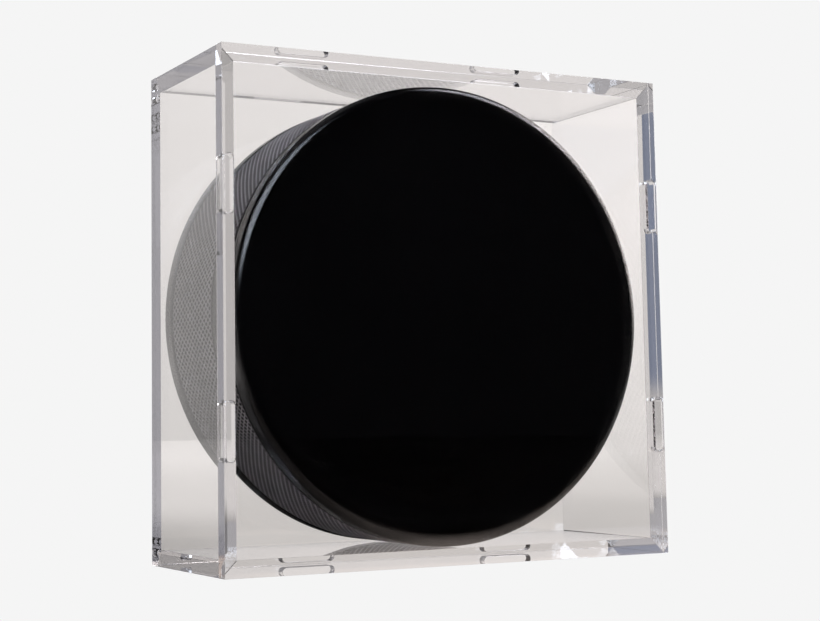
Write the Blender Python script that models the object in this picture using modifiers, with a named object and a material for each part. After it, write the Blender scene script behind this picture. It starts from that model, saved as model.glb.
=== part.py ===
"""Regulation ice hockey puck standing on edge in a clear, square, two-piece display case.

The case is two copies of one moulding: a square plate with a wall on two opposite sides. Turned a
quarter against each other they close on all six sides, the walls meeting in mitres along the
edges. Two round-ended tabs on each wall's free end go into two slots in the other half's plate.
"""

import math

import bmesh
import bpy
from mathutils import Matrix

# Puck, in metres: 3 inches across and 1 inch thick.
PUCK_DIAMETER = 0.0762
PUCK_THICKNESS = 0.0254
SHOULDER_RADIUS = 0.0012
RIM_BAND = 0.0034
BELT_RECESS = 0.00025
FACE_DISH = 0.0002

# Display case.
CASE_SIDE = 0.0825
CASE_DEPTH = 0.0321
PLATE = 0.0025
WALL = 0.0026
SEAM = 0.0002

# Tabs and slots, two on every wall.
SLOT_LENGTH = 0.0095
SLOT_WIDTH = 0.00155
SLOT_INSET = 0.00115
SLOT_OFFSET = 0.0191
TAB_CLEARANCE = 0.0002
TAB_SETBACK = 0.0002
TAB_ROOT = 0.0012

# The loose puck stands on the bottom wall, close to the left wall.
PUCK_SHIFT = -0.00035
FOOT_GAP = 0.0002

CUT_MARGIN = 0.002
PUCK_STEPS = 120
SHOULDER_STEPS = 6
ROUND_STEPS = 8

CASE_CENTRE = (0.0, 0.0, CASE_SIDE / 2)
PUCK_CENTRE = (PUCK_SHIFT, 0.0, WALL + FOOT_GAP + PUCK_DIAMETER / 2)


def clear_scene():
    for obj in list(bpy.data.objects):
        bpy.data.objects.remove(obj, do_unlink=True)


def new_collection(name):
    collection = bpy.data.collections.new(name)
    bpy.context.scene.collection.children.link(collection)
    return collection


def make_material(name, colour, roughness, transmission=0.0, ior=1.5):
    material = bpy.data.materials.new(name)
    material.use_nodes = True
    shader = material.node_tree.nodes["Principled BSDF"]
    shader.inputs["Base Color"].default_value = (*colour, 1.0)
    shader.inputs["Metallic"].default_value = 0.0
    shader.inputs["Roughness"].default_value = roughness
    shader.inputs["Transmission Weight"].default_value = transmission
    shader.inputs["IOR"].default_value = ior
    return material


def object_from_bmesh(name, shape, collection):
    mesh = bpy.data.meshes.new(name)
    shape.to_mesh(mesh)
    shape.free()
    obj = bpy.data.objects.new(name, mesh)
    collection.objects.link(obj)
    return obj


def hide_as_cutter(obj):
    obj.hide_render = True
    obj.display_type = "WIRE"


def box(name, low, high, collection):
    """A box between two corners."""
    shape = bmesh.new()
    bmesh.ops.create_cube(shape, size=1.0)
    size = [b - a for a, b in zip(low, high)]
    middle = [(a + b) / 2 for a, b in zip(low, high)]
    bmesh.ops.scale(shape, vec=size, verts=shape.verts)
    bmesh.ops.translate(shape, vec=middle, verts=shape.verts)
    return object_from_bmesh(name, shape, collection)


def prism(name, outline, start_y, end_y, collection):
    """A flat outline of (x, z) points, anticlockwise seen from the front, extruded along +Y."""
    shape = bmesh.new()
    face = shape.faces.new([shape.verts.new((x, start_y, z)) for x, z in outline])
    grown = bmesh.ops.extrude_face_region(shape, geom=[face])
    moved = [item for item in grown["geom"] if isinstance(item, bmesh.types.BMVert)]
    bmesh.ops.translate(shape, vec=(0.0, end_y - start_y, 0.0), verts=moved)
    bmesh.ops.recalc_face_normals(shape, faces=shape.faces)
    return object_from_bmesh(name, shape, collection)


def stadium(centre_x, centre_z, length, width):
    """Outline of a round-ended slot that runs along Z."""
    radius = width / 2
    reach = length / 2 - radius
    points = []
    for end, first in ((1, 0.0), (-1, math.pi)):
        for step in range(ROUND_STEPS + 1):
            angle = first + math.pi * step / ROUND_STEPS
            x = centre_x + radius * math.cos(angle)
            z = centre_z + end * reach + radius * math.sin(angle)
            points.append((x, z))
    return points


def quarter_turned(outline):
    """The same outline turned a quarter about the case's centre line."""
    return [(z, -x) for x, z in outline]


def add_boolean(target, operation, other):
    modifier = target.modifiers.new(f"{operation} {other.name}", "BOOLEAN")
    modifier.operation = operation
    modifier.solver = "EXACT"
    modifier.object = other


def hollow_outline():
    """Section of everything between the two walls: the hollow and the two open sides.

    It is the inner square with a wing to the left and right, each widening along the mitres.
    """
    inner = CASE_SIDE / 2 - WALL
    outer = CASE_SIDE / 2 + CUT_MARGIN
    mitre_shift = SEAM / 2 * math.sqrt(2)
    quadrant = [(outer, outer + mitre_shift), (inner - mitre_shift, inner)]
    right_top = quadrant
    left_top = [(-x, z) for x, z in reversed(quadrant)]
    left_bottom = [(-x, -z) for x, z in quadrant]
    right_bottom = [(x, -z) for x, z in reversed(quadrant)]
    return right_top + left_top + left_bottom + right_bottom


def build_case_mesh(cutters):
    """One moulding, centred on the case's centre, with its plate at the front."""
    half_side = CASE_SIDE / 2
    front = -CASE_DEPTH / 2
    back = CASE_DEPTH / 2
    wall_end = back - PLATE - SEAM
    blank = box("case_blank", (-half_side, front, -half_side), (half_side, wall_end, half_side), cutters)
    hide_as_cutter(blank)
    hollow = prism("hollow_cutter", hollow_outline(), front + PLATE, back + CUT_MARGIN, cutters)
    hide_as_cutter(hollow)
    add_boolean(blank, "DIFFERENCE", hollow)
    band_middle = half_side - SLOT_INSET
    for side in (-1, 1):
        for place in (-1, 1):
            slot = stadium(side * band_middle, place * SLOT_OFFSET, SLOT_LENGTH, SLOT_WIDTH)
            cutter = prism("slot_cutter", slot, front - CUT_MARGIN, front + PLATE + CUT_MARGIN, cutters)
            hide_as_cutter(cutter)
            add_boolean(blank, "DIFFERENCE", cutter)
            tab = quarter_turned(
                stadium(
                    side * band_middle,
                    place * SLOT_OFFSET,
                    SLOT_LENGTH - 2 * TAB_CLEARANCE,
                    SLOT_WIDTH - 2 * TAB_CLEARANCE,
                )
            )
            tongue = prism("tab", tab, wall_end - TAB_ROOT, back - TAB_SETBACK, cutters)
            hide_as_cutter(tongue)
            add_boolean(blank, "UNION", tongue)
    graph = bpy.context.evaluated_depsgraph_get()
    mesh = bpy.data.meshes.new_from_object(blank.evaluated_get(graph))
    mesh.name = "case_half"
    return mesh


def build_case(parts, cutters):
    """The front half carries the top and bottom walls, and the rear half the left and right walls."""
    clear_plastic = make_material("clear_plastic", (0.95, 0.95, 0.94), 0.03, transmission=1.0, ior=1.59)
    mesh = build_case_mesh(cutters)
    mesh.materials.clear()
    mesh.materials.append(clear_plastic)
    turned = Matrix.Rotation(math.pi / 2, 4, "Y") @ Matrix.Rotation(math.pi, 4, "Z")
    for name, turn in (("case_front_half", Matrix.Identity(4)), ("case_rear_half", turned)):
        half = bpy.data.objects.new(name, mesh)
        parts.objects.link(half)
        half.matrix_world = Matrix.Translation(CASE_CENTRE) @ turn


def puck_profile():
    """(radius, height) down the outer side: dished face, rounded shoulder, smooth band, belt."""
    radius = PUCK_DIAMETER / 2
    top = PUCK_THICKNESS / 2
    belt_top = top - RIM_BAND
    half = [(0.0, top - FACE_DISH), (radius - 3 * SHOULDER_RADIUS, top - FACE_DISH)]
    for step in range(SHOULDER_STEPS + 1):
        angle = math.pi / 2 * (1 - step / SHOULDER_STEPS)
        across = radius - SHOULDER_RADIUS + SHOULDER_RADIUS * math.cos(angle)
        up = top - SHOULDER_RADIUS + SHOULDER_RADIUS * math.sin(angle)
        half.append((across, up))
    half.append((radius, belt_top))
    half.append((radius - BELT_RECESS, belt_top - BELT_RECESS))
    lower = [(across, -up) for across, up in reversed(half)]
    return half + lower


def build_puck(parts):
    shape = bmesh.new()
    points = [shape.verts.new((across, 0.0, up)) for across, up in puck_profile()]
    for first, second in zip(points, points[1:]):
        shape.edges.new((first, second))
    puck = object_from_bmesh("puck", shape, parts)
    screw = puck.modifiers.new("Turned profile", "SCREW")
    screw.axis = "Z"
    screw.steps = PUCK_STEPS
    screw.render_steps = PUCK_STEPS
    screw.use_merge_vertices = True
    screw.merge_threshold = 0.00001
    puck.matrix_world = Matrix.Translation(PUCK_CENTRE) @ Matrix.Rotation(math.pi / 2, 4, "X")
    puck.data.materials.append(make_material("black_rubber", (0.012, 0.012, 0.013), 0.42))


def main():
    clear_scene()
    parts = new_collection("Cased hockey puck")
    cutters = new_collection("Cutters")
    build_puck(parts)
    build_case(parts, cutters)


main()
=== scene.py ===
"""Looks of the cased hockey puck: a knurled rubber puck inside a clear two-piece case.

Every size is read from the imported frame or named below, in metres. The row frame has +Z up, the
case's front plate towards -Y, and its origin under the middle of the case.
"""

import math

import bmesh
import bpy
from mathutils import Matrix, Vector


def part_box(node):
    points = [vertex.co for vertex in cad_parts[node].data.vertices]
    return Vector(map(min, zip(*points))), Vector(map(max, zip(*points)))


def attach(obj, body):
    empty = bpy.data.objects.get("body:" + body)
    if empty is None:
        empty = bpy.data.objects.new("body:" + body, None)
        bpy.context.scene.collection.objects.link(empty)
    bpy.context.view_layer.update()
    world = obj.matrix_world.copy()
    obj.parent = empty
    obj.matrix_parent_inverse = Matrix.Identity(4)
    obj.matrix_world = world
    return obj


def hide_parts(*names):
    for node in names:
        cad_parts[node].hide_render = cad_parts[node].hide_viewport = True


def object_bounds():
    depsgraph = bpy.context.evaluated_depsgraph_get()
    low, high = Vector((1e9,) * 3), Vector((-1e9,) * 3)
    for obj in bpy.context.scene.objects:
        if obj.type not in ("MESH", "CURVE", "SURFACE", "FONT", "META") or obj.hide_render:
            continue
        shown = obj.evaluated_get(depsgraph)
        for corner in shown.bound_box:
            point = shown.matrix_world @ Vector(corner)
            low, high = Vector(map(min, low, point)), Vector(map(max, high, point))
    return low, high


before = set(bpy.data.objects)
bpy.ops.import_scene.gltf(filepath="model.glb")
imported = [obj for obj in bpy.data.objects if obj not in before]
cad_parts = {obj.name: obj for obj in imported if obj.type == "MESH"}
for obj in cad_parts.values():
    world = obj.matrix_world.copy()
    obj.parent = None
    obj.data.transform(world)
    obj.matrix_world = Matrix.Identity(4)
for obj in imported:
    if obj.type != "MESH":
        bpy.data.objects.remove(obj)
CAD_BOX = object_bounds()

# Case, from the frame where the frame says it.
CASE_LOW, CASE_HIGH = CAD_BOX
CASE_SIDE = CASE_HIGH.x - CASE_LOW.x
CASE_DEPTH = CASE_HIGH.y - CASE_LOW.y
CASE_CENTRE = (CASE_LOW + CASE_HIGH) / 2
PLATE = 0.0025
WALL = 0.0026
SEAM = 0.00008
SLOT_LENGTH = 0.0095
SLOT_WIDTH = 0.00155
SLOT_INSET = 0.00115
SLOT_OFFSET = 0.0191
TAB_CLEARANCE = 0.00006
TAB_SETBACK = 0.00008
TAB_ROOT = 0.0012
ROUND_STEPS = 12
CUT_MARGIN = 0.002
WELD_DISTANCE = 0.000005
# Moulded corners are broken this much. Faces larger than FLAT_AREA (m2) stay optically flat.
EDGE_BREAK = 0.00005
BREAK_ANGLE = math.radians(40)
FLAT_AREA = 2e-6
SHARP_ANGLE = math.radians(50)

# Puck.
PUCK_LOW, PUCK_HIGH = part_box("puck")
PUCK_CENTRE = (PUCK_LOW + PUCK_HIGH) / 2
PUCK_RADIUS = (PUCK_HIGH.x - PUCK_LOW.x) / 2
PUCK_HALF = (PUCK_HIGH.y - PUCK_LOW.y) / 2
SHOULDER_WIDE = 0.0018
SHOULDER_TIGHT = 0.0008
SHOULDER_TURN = math.radians(38)
WIDE_STEPS = 9
TIGHT_STEPS = 8
RIM_BAND = 0.0034
FACE_DISH = 0.0002
DISH_INSET = 0.0038
MOULD_LINE = 0.00004
PUCK_SHARP_ANGLE = math.radians(48)
# Knurl: diamond pits in staggered rows. The row count is even, so that both edge rows line up.
KNURLS_AROUND = 200
KNURL_ROWS = 24
EDGE_GROOVE = 0.0002
KNURL_DEPTH = 0.0003
KNURL_CREST = PUCK_RADIUS - 0.00005
PIT_LIP = 0.74
PIT_LIP_DEPTH = 0.00003
PIT_FLOOR = 0.40
# Pale grey painted on the knurl's crests: a painted highlight of the lit ridges, in uneven patches.
CREST_HIGHLIGHT_COLOUR = (0.56, 0.52, 0.545, 1.0)
SKIN_DARK = (0.0003, 0.0002, 0.0002, 1.0)
SKIN_PALE = (0.0011, 0.0006, 0.0006, 1.0)
RUBBER_IOR = 1.5

# Clear plastic: height of its flow waves, how rough a scuff is, and what its depth absorbs.
FLOW_WAVE = 0.00002
SCUFF_ROUGHNESS = 0.03
PLASTIC_IOR = 1.57
PLASTIC_TINT = (0.50, 0.47, 0.46, 1.0)
PLASTIC_DENSITY = 7.0

# Camera, at the photograph's viewing angle.
CAMERA_PLACE = (-0.13856, -0.25496, 0.02276)
CAMERA_FORWARD = (0.4597, 0.8820, 0.1035)
CAMERA_UP = (-0.0335, -0.0993, 0.9945)
CAMERA_LENS = 73.85
CAMERA_SHIFT = (0.0366, -0.0738)

# Stage. It isn't one even light: the backdrop and the floor have one colour for the camera, one for
# what is seen straight through the case, one for reflections, and fills for light that has turned
# several times inside the plastic. The values are set for the view from the camera.
FLOOR_RADIUS = 3.0
FLOOR_DROP = 0.0004
STAGE_TONE = (0.913, 0.913, 0.913, 1.0)
BACKDROP_LOW = (0.860, 0.830, 0.812, 1.0)
BACKDROP_HIGH = (1.020, 0.985, 0.970, 1.0)
# Painted shade on the floor close to the case, as seen through it.
FLOOR_NEAR = (0.735, 0.705, 0.685, 1.0)
# The floor as reflections see it: a pale strip before the case, which is painted light, a painted
# shadow under the case, and dark behind it.
PAINTED_LIGHT_STRIP = (1.15, 0.99, 0.91, 1.0)
PAINTED_SHADOW_UNDER_CASE = (0.012, 0.011, 0.011, 1.0)
FLOOR_BEHIND = (0.02, 0.019, 0.019, 1.0)
FLOOR_FAR = (0.80, 0.775, 0.765, 1.0)
FLOOR_ASIDE = (0.84, 0.805, 0.795, 1.0)
FLOOR_DISTANT = (0.64, 0.62, 0.61, 1.0)
# The room as reflections see it.
ROOM_GLOW = (1.0, 0.965, 0.95)
ROOM_DARK = (0.004, 0.004, 0.005)
GUIDED_FILL = (0.49, 0.48, 0.50)
TRAPPED_LIGHT = (0.44, 0.44, 0.49, 1.0)
# A dull blue cloth low at the back left, which the right wall picks up as its blue stripe.
FLAG_BLUE = (0.24, 0.27, 0.36, 1.0)
# Soft lights: direction, half width, half height, colour times strength.
LEFT_SOFTBOX = ((-0.30, -0.81, 0.49), 0.46, 0.32, (5.9, 6.5, 7.5))
RIGHT_SOFTBOX = ((0.66, -0.38, 0.64), 0.26, 0.36, (7.6, 7.6, 8.4))
SIDE_PANEL = ((0.90, -0.12, 0.40), 0.62, 0.38, (5.4, 5.0, 4.9))
OVERHEAD = ((-0.25, -0.1, 0.96), 0.50, 0.45, (0.45, 0.44, 0.46))


# ---------------------------------------------------------------- shapes


def object_from_bmesh(name, shape):
    mesh = bpy.data.meshes.new(name)
    shape.to_mesh(mesh)
    shape.free()
    obj = bpy.data.objects.new(name, mesh)
    bpy.context.scene.collection.objects.link(obj)
    return obj


def box_shape(low, high):
    shape = bmesh.new()
    bmesh.ops.create_cube(shape, size=1.0)
    size = [b - a for a, b in zip(low, high)]
    middle = [(a + b) / 2 for a, b in zip(low, high)]
    bmesh.ops.scale(shape, vec=size, verts=shape.verts)
    bmesh.ops.translate(shape, vec=middle, verts=shape.verts)
    return shape


def prism(name, outline, start_y, end_y):
    """A flat outline of (x, z) points extruded along +Y."""
    shape = bmesh.new()
    face = shape.faces.new([shape.verts.new((x, start_y, z)) for x, z in outline])
    grown = bmesh.ops.extrude_face_region(shape, geom=[face])
    moved = [item for item in grown["geom"] if isinstance(item, bmesh.types.BMVert)]
    bmesh.ops.translate(shape, vec=(0.0, end_y - start_y, 0.0), verts=moved)
    bmesh.ops.recalc_face_normals(shape, faces=shape.faces)
    return object_from_bmesh(name, shape)


def stadium(centre_x, centre_z, length, width):
    """Outline of a round-ended slot that runs along Z."""
    radius = width / 2
    reach = length / 2 - radius
    points = []
    for end, first in ((1, 0.0), (-1, math.pi)):
        for step in range(ROUND_STEPS + 1):
            angle = first + math.pi * step / ROUND_STEPS
            x = centre_x + radius * math.cos(angle)
            z = centre_z + end * reach + radius * math.sin(angle)
            points.append((x, z))
    return points


def quarter_turned(outline):
    return [(z, -x) for x, z in outline]


def add_boolean(target, operation, other):
    modifier = target.modifiers.new(f"{operation} {other.name}", "BOOLEAN")
    modifier.operation = operation
    modifier.solver = "EXACT"
    modifier.object = other


def hollow_outline():
    """Section of the hollow and the two open sides, widening outwards along the mitres."""
    inner = CASE_SIDE / 2 - WALL
    outer = CASE_SIDE / 2 + CUT_MARGIN
    mitre_shift = SEAM / 2 * math.sqrt(2)
    quadrant = [(outer, outer + mitre_shift), (inner - mitre_shift, inner)]
    right_top = quadrant
    left_top = [(-x, z) for x, z in reversed(quadrant)]
    left_bottom = [(-x, -z) for x, z in quadrant]
    right_bottom = [(x, -z) for x, z in reversed(quadrant)]
    return right_top + left_top + left_bottom + right_bottom


def break_edges(blank):
    """Welds the cuts together and takes the sharpness off every moulded corner."""
    weld = blank.modifiers.new("Weld", "WELD")
    weld.merge_threshold = WELD_DISTANCE
    edges = blank.modifiers.new("Broken edges", "BEVEL")
    edges.width = EDGE_BREAK
    edges.segments = 2
    edges.limit_method = "ANGLE"
    edges.angle_limit = BREAK_ANGLE
    edges.miter_outer = "MITER_ARC"


def build_case_mesh():
    """One moulding with broken edges, centred on the case's centre, its plate at the front."""
    half_side = CASE_SIDE / 2
    front = -CASE_DEPTH / 2
    back = CASE_DEPTH / 2
    wall_end = back - PLATE - SEAM
    shape = box_shape((-half_side, front, -half_side), (half_side, wall_end, half_side))
    blank = object_from_bmesh("case_blank", shape)
    helpers = [blank]
    hollow = prism("hollow_cutter", hollow_outline(), front + PLATE, back + CUT_MARGIN)
    helpers.append(hollow)
    add_boolean(blank, "DIFFERENCE", hollow)
    band_middle = half_side - SLOT_INSET
    for side in (-1, 1):
        for place in (-1, 1):
            slot = stadium(side * band_middle, place * SLOT_OFFSET, SLOT_LENGTH, SLOT_WIDTH)
            cutter = prism("slot_cutter", slot, front - CUT_MARGIN, front + PLATE + CUT_MARGIN)
            helpers.append(cutter)
            add_boolean(blank, "DIFFERENCE", cutter)
            tab = stadium(
                side * band_middle,
                place * SLOT_OFFSET,
                SLOT_LENGTH - 2 * TAB_CLEARANCE,
                SLOT_WIDTH - 2 * TAB_CLEARANCE,
            )
            tongue = prism("tab", quarter_turned(tab), wall_end - TAB_ROOT, back - TAB_SETBACK)
            helpers.append(tongue)
            add_boolean(blank, "UNION", tongue)
    break_edges(blank)
    graph = bpy.context.evaluated_depsgraph_get()
    mesh = bpy.data.meshes.new_from_object(blank.evaluated_get(graph))
    for helper in helpers:
        bpy.data.objects.remove(helper, do_unlink=True)
    smooth_small_faces(mesh)
    return mesh


def smooth_small_faces(mesh):
    """Shades the curved strips smooth and keeps every flat moulded face optically flat."""
    shape = bmesh.new()
    shape.from_mesh(mesh)
    for face in shape.faces:
        face.smooth = face.calc_area() < FLAT_AREA
    for edge in shape.edges:
        curved = all(face.smooth for face in edge.link_faces)
        edge.smooth = curved and edge.calc_face_angle(0.0) < SHARP_ANGLE
    shape.to_mesh(mesh)
    shape.free()


def build_case(clear_plastic):
    mesh = build_case_mesh()
    turned = Matrix.Rotation(math.pi / 2, 4, "Y") @ Matrix.Rotation(math.pi, 4, "Z")
    halves = (
        ("clear_front_half", "case_front_half", "front_half", Matrix.Identity(4)),
        ("clear_rear_half", "case_rear_half", "rear_half", turned),
    )
    for name, node, body, turn in halves:
        half_mesh = mesh.copy()
        half_mesh.transform(Matrix.Translation(CASE_CENTRE) @ turn)
        half_mesh.materials.clear()
        half_mesh.materials.append(clear_plastic)
        half = bpy.data.objects.new(name, half_mesh)
        bpy.context.scene.collection.objects.link(half)
        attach(half, body)
        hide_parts(node)


def shoulder_points(top):
    """The shoulder: a wide easy curve off the face that tightens into the side."""
    shallow = SHOULDER_WIDE * math.sin(SHOULDER_TURN)
    steep = SHOULDER_TIGHT * (1 - math.sin(SHOULDER_TURN))
    start = PUCK_RADIUS - shallow - steep
    drop = SHOULDER_WIDE * (1 - math.cos(SHOULDER_TURN))
    points = []
    for step in range(1, WIDE_STEPS + 1):
        angle = SHOULDER_TURN * step / WIDE_STEPS
        across = start + SHOULDER_WIDE * math.sin(angle)
        points.append((across, top - SHOULDER_WIDE * (1 - math.cos(angle))))
    for step in range(1, TIGHT_STEPS + 1):
        angle = SHOULDER_TURN + (math.pi / 2 - SHOULDER_TURN) * step / TIGHT_STEPS
        across = start + shallow + SHOULDER_TIGHT * (math.sin(angle) - math.sin(SHOULDER_TURN))
        down = drop + SHOULDER_TIGHT * (math.cos(SHOULDER_TURN) - math.cos(angle))
        points.append((across, top - down))
    return points


def puck_side_profile():
    """(radius, depth) from the middle of the face to the edge of the knurled belt, front half."""
    top = PUCK_HALF
    radius = PUCK_RADIUS
    dish_radius = radius - DISH_INSET
    points = []
    for share in (0.0, 0.08, 0.2, 0.35, 0.5, 0.65, 0.8, 0.92, 1.0):
        points.append((share * dish_radius, top - FACE_DISH))
    points.append((dish_radius + 0.0007, top - 0.3 * FACE_DISH))
    points.append((dish_radius + 0.0013, top))
    points.extend(shoulder_points(top))
    band_end = top - RIM_BAND
    # One shallow mould line runs round the smooth band, then a small step down to the belt.
    for up, sink in (
        (0.00117, 0.0),
        (0.0011, 0.0),
        (0.00104, MOULD_LINE),
        (0.00094, MOULD_LINE),
        (0.00088, 0.0),
        (0.00081, 0.0),
        (0.00019, 0.0),
        (0.00012, 0.0),
        (0.00004, 2 * MOULD_LINE),
    ):
        points.append((radius - sink, band_end + up))
    points.append((KNURL_CREST, band_end))
    return points


def on_cylinder(verts, angle, radius, depth):
    verts.append((radius * math.cos(angle), depth, radius * math.sin(angle)))
    return len(verts) - 1


def ring(verts, radius, depth, offset=0.0):
    """A ring of points about the Y axis, turned by a share of a knurl."""
    points = []
    for step in range(KNURLS_AROUND):
        angle = 2 * math.pi * (step + offset) / KNURLS_AROUND
        points.append(on_cylinder(verts, angle, radius, depth))
    return points


def bridge(faces, outer, inner, flip):
    for step in range(KNURLS_AROUND):
        after = (step + 1) % KNURLS_AROUND
        quad = [outer[step], outer[after], inner[after], inner[step]]
        faces.append(quad[::-1] if flip else quad)


def add_pit(verts, faces, outer, angle, depth, pitch, row_depth):
    """One diamond pit: a lip just inside its four crests, sloping down to a flat floor."""
    lips = []
    floors = []
    for across, along in ((-0.5, 0.0), (0.0, -1.0), (0.5, 0.0), (0.0, 1.0)):
        for share, sink, corners in ((PIT_LIP, PIT_LIP_DEPTH, lips), (PIT_FLOOR, KNURL_DEPTH, floors)):
            turn = angle + share * across * pitch
            place = depth + share * along * row_depth
            corners.append(on_cylinder(verts, turn, KNURL_CREST - sink, place))
    for k in range(4):
        n = (k + 1) % 4
        faces.append([outer[k], outer[n], lips[n], lips[k]])
        faces.append([lips[k], lips[n], floors[n], floors[k]])
    faces.append(list(floors))


def add_belt(verts, faces):
    """The knurled belt. Returns the rings of points at its front and rear edges."""
    belt_half = PUCK_HALF - RIM_BAND
    row_depth = 2 * belt_half / KNURL_ROWS
    pitch = 2 * math.pi / KNURLS_AROUND

    # Crests, each row half a knurl round from the last. The two edge rows sink into a groove.
    rows = []
    for row in range(KNURL_ROWS + 1):
        crest = KNURL_CREST if 0 < row < KNURL_ROWS else KNURL_CREST - EDGE_GROOVE
        rows.append(ring(verts, crest, -belt_half + row * row_depth, 0.5 * (row % 2)))

    def corner(row, step):
        return rows[row][step % KNURLS_AROUND]

    for row in range(1, KNURL_ROWS):
        odd = row % 2
        depth = -belt_half + row * row_depth
        for step in range(KNURLS_AROUND):
            outer = [
                corner(row, step),
                corner(row - 1, step + odd),
                corner(row, step + 1),
                corner(row + 1, step + odd),
            ]
            angle = pitch * (step + 0.5 * odd + 0.5)
            add_pit(verts, faces, outer, angle, depth, pitch, row_depth)
    last = KNURL_ROWS
    for step in range(KNURLS_AROUND):
        faces.append([corner(0, step), corner(0, step + 1), corner(1, step)])
        faces.append([corner(last, step + 1), corner(last, step), corner(last - 1, step)])
    return rows[0], rows[last]


def add_turned_end(verts, faces, end, belt_edge):
    """One end of the puck, from the belt's edge over the shoulder to the middle of the face."""
    profile = puck_side_profile()
    previous = None
    for radius, depth in profile[1:-1]:
        current = ring(verts, radius, end * depth)
        if previous:
            bridge(faces, previous, current, flip=end > 0)
        previous = current
    bridge(faces, previous, belt_edge, flip=end > 0)
    centre = on_cylinder(verts, 0.0, 0.0, end * profile[0][1])
    inner = ring(verts, profile[1][0], end * profile[1][1])
    for step in range(KNURLS_AROUND):
        after = (step + 1) % KNURLS_AROUND
        triangle = [centre, inner[step], inner[after]]
        faces.append(triangle if end < 0 else triangle[::-1])


def build_puck_mesh():
    """A knurled belt joined to two turned ends, all one closed surface about the Y axis."""
    verts = []
    faces = []
    front_edge, rear_edge = add_belt(verts, faces)
    add_turned_end(verts, faces, -1, front_edge)
    add_turned_end(verts, faces, 1, rear_edge)
    mesh = bpy.data.meshes.new("knurled_puck")
    mesh.from_pydata(verts, [], faces)
    shape = bmesh.new()
    shape.from_mesh(mesh)
    bmesh.ops.remove_doubles(shape, verts=shape.verts, dist=0.000002)
    bmesh.ops.recalc_face_normals(shape, faces=shape.faces)
    shape.to_mesh(mesh)
    shape.free()
    mesh.shade_smooth()
    mesh.set_sharp_from_angle(angle=PUCK_SHARP_ANGLE)
    return mesh


def build_puck(rubber):
    mesh = build_puck_mesh()
    mesh.transform(Matrix.Translation(PUCK_CENTRE))
    mesh.materials.append(rubber)
    puck = bpy.data.objects.new("knurled_puck", mesh)
    bpy.context.scene.collection.objects.link(puck)
    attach(puck, "puck")
    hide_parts("puck")


# ---------------------------------------------------------------- nodes


def wire(tree, value, socket):
    """Plugs in a socket, or sets a plain number or colour."""
    if isinstance(value, bpy.types.NodeSocket):
        tree.links.new(value, socket)
    else:
        socket.default_value = value


def calc(tree, operation, *values):
    node = tree.nodes.new("ShaderNodeMath")
    node.operation = operation
    for value, socket in zip(values, node.inputs):
        wire(tree, value, socket)
    return node.outputs["Value"]


def smooth_step(tree, value, low, high, start=0.0, end=1.0):
    """Eases from start to end as the value goes from low to high."""
    node = tree.nodes.new("ShaderNodeMapRange")
    node.interpolation_type = "SMOOTHSTEP"
    wire(tree, value, node.inputs["Value"])
    for name, number in (("From Min", low), ("From Max", high), ("To Min", start), ("To Max", end)):
        node.inputs[name].default_value = number
    return node.outputs["Result"]


def mix_colour(tree, factor, first, second):
    node = tree.nodes.new("ShaderNodeMix")
    node.data_type = "RGBA"
    wire(tree, factor, node.inputs["Factor"])
    wire(tree, first, node.inputs["A"])
    wire(tree, second, node.inputs["B"])
    return node.outputs["Result"]


def combine_colours(tree, operation, first, second):
    node = tree.nodes.new("ShaderNodeVectorMath")
    node.operation = operation
    wire(tree, first, node.inputs[0])
    wire(tree, second, node.inputs[1])
    return node.outputs["Vector"]


def scale_colour(tree, colour, factor):
    node = tree.nodes.new("ShaderNodeVectorMath")
    node.operation = "SCALE"
    wire(tree, colour, node.inputs[0])
    wire(tree, factor, node.inputs["Scale"])
    return node.outputs["Vector"]


def alignment(tree, direction, target):
    """Cosine of the angle between a direction and a fixed one."""
    node = tree.nodes.new("ShaderNodeVectorMath")
    node.operation = "DOT_PRODUCT"
    wire(tree, direction, node.inputs[0])
    node.inputs[1].default_value = Vector(target).normalized()
    return node.outputs["Value"]


def noise(tree, vector, scale, detail=3.0, roughness=0.55):
    node = tree.nodes.new("ShaderNodeTexNoise")
    wire(tree, vector, node.inputs["Vector"])
    node.inputs["Scale"].default_value = scale
    node.inputs["Detail"].default_value = detail
    node.inputs["Roughness"].default_value = roughness
    return node.outputs["Fac"]


def bump(tree, height, distance):
    node = tree.nodes.new("ShaderNodeBump")
    wire(tree, height, node.inputs["Height"])
    node.inputs["Distance"].default_value = distance
    node.inputs["Strength"].default_value = 1.0
    return node.outputs["Normal"]


def object_point(tree):
    return tree.nodes.new("ShaderNodeTexCoord").outputs["Object"]


def split_axes(tree, vector):
    node = tree.nodes.new("ShaderNodeSeparateXYZ")
    wire(tree, vector, node.inputs["Vector"])
    return node.outputs["X"], node.outputs["Y"], node.outputs["Z"]


# ---------------------------------------------------------------- materials


def new_material(name):
    material = bpy.data.materials.new(name)
    material.use_nodes = True
    tree = material.node_tree
    return material, tree, tree.nodes["Principled BSDF"]


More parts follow.
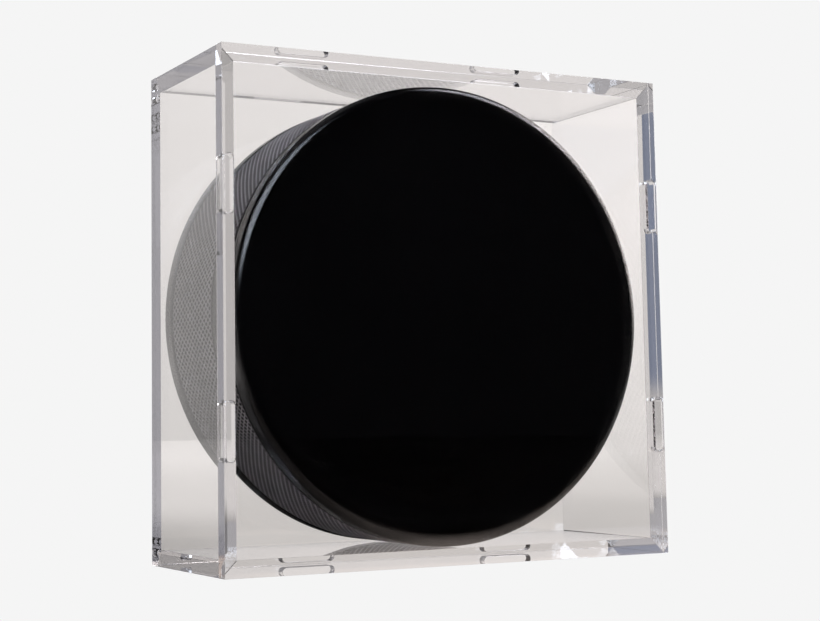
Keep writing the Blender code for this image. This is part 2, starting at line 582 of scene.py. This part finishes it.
def make_clear_plastic():
    """Clear polystyrene: faint flow waves, sparse scuffs, and a faint grey tint in its depth."""
    material, tree, shader = new_material("clear_polystyrene")
    point = object_point(tree)
    cloud = noise(tree, point, 55.0, 2.0)
    tint = mix_colour(tree, cloud, (0.996, 0.992, 0.990, 1.0), (0.984, 0.980, 0.978, 1.0))
    wire(tree, tint, shader.inputs["Base Color"])
    scuffs = smooth_step(tree, noise(tree, point, 420.0, 6.0, 0.7), 0.60, 0.74)
    wire(tree, calc(tree, "MULTIPLY", scuffs, SCUFF_ROUGHNESS), shader.inputs["Roughness"])
    waves = noise(tree, point, 38.0, 1.0)
    wire(tree, bump(tree, waves, FLOW_WAVE), shader.inputs["Normal"])
    shader.inputs["IOR"].default_value = PLASTIC_IOR
    shader.inputs["Transmission Weight"].default_value = 1.0
    absorb = tree.nodes.new("ShaderNodeVolumeAbsorption")
    absorb.inputs["Color"].default_value = PLASTIC_TINT
    absorb.inputs["Density"].default_value = PLASTIC_DENSITY
    wire(tree, absorb.outputs["Volume"], tree.nodes["Material Output"].inputs["Volume"])
    return material


def make_rubber():
    """Vulcanised rubber: near black and smooth, with a painted highlight in pale grey on the crests of
    the knurled belt.
    """
    material, tree, shader = new_material("vulcanised_rubber")
    point = object_point(tree)
    x, y, z = split_axes(tree, point)
    across_x = calc(tree, "SUBTRACT", x, PUCK_CENTRE.x)
    across_z = calc(tree, "SUBTRACT", z, PUCK_CENTRE.z)
    squares = calc(tree, "ADD", calc(tree, "POWER", across_x, 2.0), calc(tree, "POWER", across_z, 2.0))
    radius = calc(tree, "SQRT", squares)
    along = calc(tree, "ABSOLUTE", calc(tree, "SUBTRACT", y, PUCK_CENTRE.y))

    belt_edge = PUCK_HALF - RIM_BAND
    on_belt = smooth_step(tree, along, belt_edge - 0.0013, belt_edge - 0.0005, 1.0, 0.0)
    near_rim = smooth_step(tree, radius, PUCK_RADIUS - 0.004, PUCK_RADIUS - 0.002)
    belt = calc(tree, "MULTIPLY", on_belt, near_rim)
    # Painted highlight: the crests of the belt turn pale grey in uneven patches, where the ridges
    # catch light; the pits keep the near black skin.
    highlight_from = KNURL_CREST - 0.35 * KNURL_DEPTH
    crest = smooth_step(tree, radius, highlight_from, KNURL_CREST - 0.06 * KNURL_DEPTH)
    crest_patches = smooth_step(tree, noise(tree, point, 260.0, 4.0, 0.6), 0.25, 0.75, 0.62, 1.0)
    painted_crest_highlight = calc(tree, "MULTIPLY", calc(tree, "MULTIPLY", belt, crest), crest_patches)

    mottle = noise(tree, point, 160.0, 5.0, 0.65)
    skin = mix_colour(tree, mottle, SKIN_DARK, SKIN_PALE)
    colour = mix_colour(tree, painted_crest_highlight, skin, CREST_HIGHLIGHT_COLOUR)
    wire(tree, colour, shader.inputs["Base Color"])

    face = smooth_step(tree, radius, PUCK_RADIUS - 0.0036, PUCK_RADIUS - 0.0016, 1.0, 0.0)
    grain_gloss = smooth_step(tree, mottle, 0.3, 0.7, 0.10, 0.13)
    gloss = calc(tree, "ADD", grain_gloss, calc(tree, "MULTIPLY", face, 0.01))
    gloss = calc(tree, "ADD", gloss, calc(tree, "MULTIPLY", belt, 0.20))
    wire(tree, gloss, shader.inputs["Roughness"])
    grain = noise(tree, point, 2600.0, 3.0)
    wire(tree, bump(tree, grain, 0.000008), shader.inputs["Normal"])
    shader.inputs["IOR"].default_value = RUBBER_IOR
    return material


# ---------------------------------------------------------------- stage


def band_window(tree, value, low, high, soft):
    """One between low and high, easing to nothing over a soft edge outside them."""
    rise = smooth_step(tree, value, low - soft, low)
    fall = smooth_step(tree, value, high, high + soft, 1.0, 0.0)
    return calc(tree, "MULTIPLY", rise, fall)


def softbox(tree, direction, centre, half_width, half_height, colour):
    """An oval, soft-rimmed light in the surroundings. Its half sizes are sines of angles."""
    facing = Vector(centre).normalized()
    across = Vector((0.0, 0.0, 1.0)).cross(facing).normalized()
    along = facing.cross(across)
    sideways = calc(tree, "DIVIDE", alignment(tree, direction, across), half_width)
    upwards = calc(tree, "DIVIDE", alignment(tree, direction, along), half_height)
    squares = calc(tree, "ADD", calc(tree, "POWER", sideways, 2.0), calc(tree, "POWER", upwards, 2.0))
    glow = smooth_step(tree, squares, 0.35, 1.25, 1.0, 0.0)
    in_front = calc(tree, "GREATER_THAN", alignment(tree, direction, facing), 0.0)
    return scale_colour(tree, colour, calc(tree, "MULTIPLY", glow, in_front))


def path_shares(tree):
    """Whether the camera looks straight at the stage, and how far a ray has turned on its way.

    A turn is a bounce off a surface, outside or inside the plastic. Passing through isn't one.
    """
    paths = tree.nodes.new("ShaderNodeLightPath")
    turns = calc(tree, "ADD", paths.outputs["Glossy Depth"], paths.outputs["Diffuse Depth"])
    reflected = calc(tree, "MINIMUM", turns, 1.0)
    guided = smooth_step(tree, paths.outputs["Glossy Depth"], 1.0, 3.0)
    trapped = smooth_step(tree, paths.outputs["Glossy Depth"], 5.0, 12.0)
    return paths.outputs["Is Camera Ray"], reflected, guided, trapped


def stage_colour(tree, seen_through, mirrored_with):
    """Picks the stage's colour by how the ray came: see the note on the stage above.

    mirrored_with(fill) gives what reflections see, once the fill for guided light is known.
    """
    is_camera, reflected, guided, trapped = path_shares(tree)
    mirrored = mirrored_with(scale_colour(tree, GUIDED_FILL, guided))
    colour = mix_colour(tree, reflected, seen_through, mirrored)
    colour = mix_colour(tree, trapped, colour, TRAPPED_LIGHT)
    return mix_colour(tree, is_camera, colour, STAGE_TONE)


def backdrop_seen_through(tree, axes):
    """The backdrop through the clear case: paler upwards and to the right."""
    x, _, z = axes
    height = smooth_step(tree, z, -0.02, 0.14)
    backdrop = mix_colour(tree, height, BACKDROP_LOW, BACKDROP_HIGH)
    return scale_colour(tree, backdrop, smooth_step(tree, x, 0.30, 0.66, 0.90, 1.12))


def room_glow(tree, axes):
    """A broad glow low at the back of a dark room, as reflections see it."""
    x, y, z = axes
    skewed = calc(tree, "ADD", y, calc(tree, "MULTIPLY", x, 0.45))
    behind = smooth_step(tree, skewed, -0.25, 0.35)
    lit = calc(tree, "MULTIPLY", behind, band_window(tree, z, -0.22, 0.34, 0.14))
    rising = smooth_step(tree, z, -0.12, 0.24, 0.78, 0.88)
    lean = smooth_step(tree, x, -0.5, 0.3, 0.71, 1.0)
    lit = calc(tree, "MULTIPLY", lit, calc(tree, "MULTIPLY", rising, lean))
    return combine_colours(tree, "ADD", scale_colour(tree, ROOM_GLOW, lit), ROOM_DARK)


def flag_share(tree, axes):
    """Where the blue cloth hangs."""
    x, y, z = axes
    share = band_window(tree, x, -0.68, -0.545, 0.03)
    share = calc(tree, "MULTIPLY", share, band_window(tree, z, 0.03, 0.175, 0.02))
    return calc(tree, "MULTIPLY", share, calc(tree, "GREATER_THAN", y, 0.0))


def make_world():
    """A pale backdrop, and the room that reflections see: a glow behind and four soft lights."""
    world = bpy.data.worlds.new("studio")
    bpy.context.scene.world = world
    world.use_nodes = True
    tree = world.node_tree
    direction = tree.nodes.new("ShaderNodeTexCoord").outputs["Generated"]
    axes = split_axes(tree, direction)
    room = room_glow(tree, axes)
    for light in (LEFT_SOFTBOX, RIGHT_SOFTBOX, SIDE_PANEL, OVERHEAD):
        room = combine_colours(tree, "ADD", room, softbox(tree, direction, *light))
    cloth = flag_share(tree, axes)

    def mirrored_with(fill):
        return mix_colour(tree, cloth, combine_colours(tree, "MAXIMUM", room, fill), FLAG_BLUE)

    colour = stage_colour(tree, backdrop_seen_through(tree, axes), mirrored_with)
    wire(tree, colour, tree.nodes["Background"].inputs["Color"])


def floor_seen_through(tree, point, x):
    """The floor through the clear case, with painted shade: darker close to it, and paler far off and
    to the right.
    """
    length = tree.nodes.new("ShaderNodeVectorMath")
    length.operation = "LENGTH"
    wire(tree, point, length.inputs[0])
    # Painted shade and light: the floor is darker close to the case, and paler with distance and to
    # the right.
    far = smooth_step(tree, length.outputs["Value"], 0.12, 1.1)
    colour = mix_colour(tree, far, FLOOR_NEAR, BACKDROP_LOW)
    return scale_colour(tree, colour, smooth_step(tree, x, -0.05, 0.35, 0.97, 1.08))


def floor_mirrored(tree, x, y):
    """The floor as reflections see it: its tones change with the place about the case, with painted
    light in a strip before it and a painted shadow under it.
    """
    # Painted light: a bright strip on the floor just before the case.
    lit_strip = band_window(tree, y, -0.07, -0.024, 0.03)
    lit_strip = calc(tree, "MULTIPLY", lit_strip, smooth_step(tree, x, -0.026, 0.0, 0.2, 1.0))
    open_floor = mix_colour(tree, smooth_step(tree, y, 0.05, 0.30), FLOOR_BEHIND, FLOOR_FAR)
    # Painted shadow: the floor goes dark under the case.
    colour = mix_colour(tree, smooth_step(tree, y, 0.018, 0.03), PAINTED_SHADOW_UNDER_CASE, open_floor)
    colour = mix_colour(tree, lit_strip, colour, PAINTED_LIGHT_STRIP)
    colour = scale_colour(tree, colour, smooth_step(tree, y, -0.10, -0.02))
    right = smooth_step(tree, x, 0.07, 0.14)
    left = smooth_step(tree, x, -0.14, -0.06, 1.0, 0.0)
    beside = calc(tree, "MAXIMUM", left, right)
    beside = calc(tree, "MULTIPLY", beside, smooth_step(tree, y, -0.16, -0.04))
    pale = mix_colour(tree, smooth_step(tree, x, -1.6, -0.3), FLOOR_DISTANT, FLOOR_ASIDE)
    return mix_colour(tree, beside, colour, pale)


def make_floor():
    """A pale glowing floor, one even tone to the camera."""
    shape = bmesh.new()
    bmesh.ops.create_circle(shape, cap_ends=True, segments=96, radius=FLOOR_RADIUS)
    floor = object_from_bmesh("studio_floor", shape)
    floor.location = (0.0, 0.0, -FLOOR_DROP)
    material = bpy.data.materials.new("pale_floor")
    material.use_nodes = True
    tree = material.node_tree
    tree.nodes.remove(tree.nodes["Principled BSDF"])
    point = object_point(tree)
    x, y, _ = split_axes(tree, point)
    reflection = floor_mirrored(tree, x, y)

    def mirrored_with(fill):
        return combine_colours(tree, "MAXIMUM", reflection, fill)

    colour = stage_colour(tree, floor_seen_through(tree, point, x), mirrored_with)
    glow = tree.nodes.new("ShaderNodeEmission")
    wire(tree, colour, glow.inputs["Color"])
    wire(tree, glow.outputs["Emission"], tree.nodes["Material Output"].inputs["Surface"])
    floor.data.materials.append(material)


def make_camera():
    """A long lens, slightly below the puck's centre and to the left, looking up at the case."""
    data = bpy.data.cameras.new("camera")
    data.lens = CAMERA_LENS
    data.sensor_width = 36.0
    data.shift_x, data.shift_y = CAMERA_SHIFT
    data.clip_start = 0.01
    camera = bpy.data.objects.new("camera", data)
    bpy.context.scene.collection.objects.link(camera)
    forward = Vector(CAMERA_FORWARD).normalized()
    right = forward.cross(Vector(CAMERA_UP)).normalized()
    up = right.cross(forward)
    axes = Matrix((right, up, -forward)).transposed().to_4x4()
    camera.matrix_world = Matrix.Translation(CAMERA_PLACE) @ axes
    bpy.context.scene.camera = camera


def set_view():
    """Plain colour, and enough bounces for light that is guided along the clear walls."""
    scene = bpy.context.scene
    scene.view_settings.view_transform = "Standard"
    scene.cycles.max_bounces = 64
    scene.cycles.transmission_bounces = 48
    scene.cycles.glossy_bounces = 48
    scene.cycles.diffuse_bounces = 3


make_camera()
set_view()
make_world()
make_floor()
build_case(make_clear_plastic())
build_puck(make_rubber())
